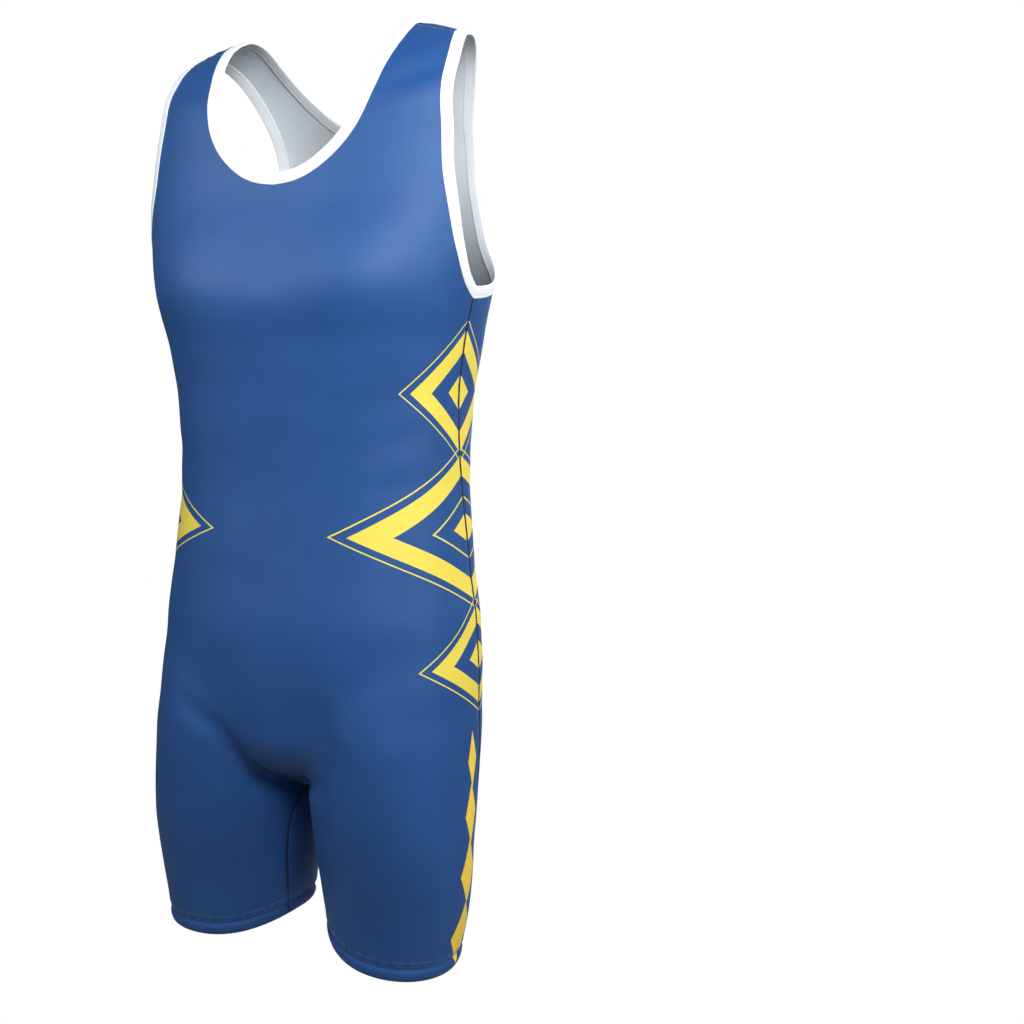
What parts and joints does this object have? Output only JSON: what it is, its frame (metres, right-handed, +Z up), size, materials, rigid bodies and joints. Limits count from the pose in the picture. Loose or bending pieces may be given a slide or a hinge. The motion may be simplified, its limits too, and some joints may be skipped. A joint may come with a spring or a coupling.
{
  "type": "athletic singlet",
  "caption": "One-piece sleeveless stretch singlet with a deep neck, scooped armholes, bound edges and mid-thigh legs, standing out in its worn shape and empty inside.",
  "frame": {"origin": "midway between the two shoulders, at the height of the neck edge there, where the wearer's shoulders hold the garment", "axes": "+Z up along the wearer's height, -Y the way the wearer faces, +X to the wearer's left"},
  "size_m": [0.3378, 0.2511, 0.8963],
  "materials": {
    "blue_knit": "smooth warp knit with a soft sheen",
    "white_tape": "matt knitted binding tape",
    "hem_knit": "smooth warp knit, turned and coverstitched"
  },
  "bodies": {
    "root": {"front_panel": "blue_knit", "back_panel": "blue_knit", "neck_binding": "white_tape", "left_armhole_binding": "white_tape", "right_armhole_binding": "white_tape", "left_leg_hem": "hem_knit", "right_leg_hem": "hem_knit"}
  },
  "joints": []
}
